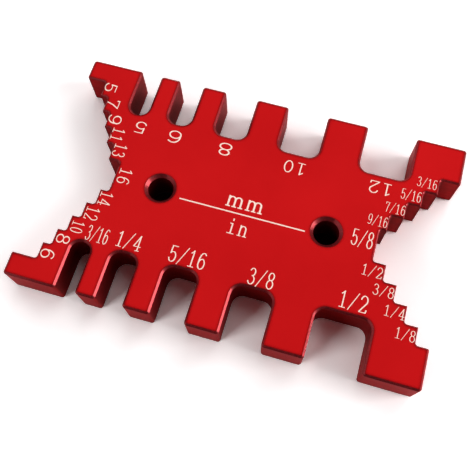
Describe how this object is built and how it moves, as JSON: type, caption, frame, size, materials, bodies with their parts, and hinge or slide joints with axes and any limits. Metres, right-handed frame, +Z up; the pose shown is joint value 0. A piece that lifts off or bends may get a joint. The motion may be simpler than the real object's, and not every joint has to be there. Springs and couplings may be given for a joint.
{
  "type": "height gauge",
  "caption": "Flat anodised plate gauge with sized slots along both long sides, a stepped arch at each end, and countersunk screw holes.",
  "frame": {"origin": "on the resting face, under the middle of the plate's length and width", "axes": "+X along the plate towards the inch end, +Y across it towards the metric slots, +Z up out of the marked face"},
  "size_m": [0.095, 0.0588, 0.0095],
  "materials": {
    "red_anodised": "satin red anodised"
  },
  "bodies": {
    "root": {"gauge_plate": "red_anodised"}
  },
  "joints": []
}
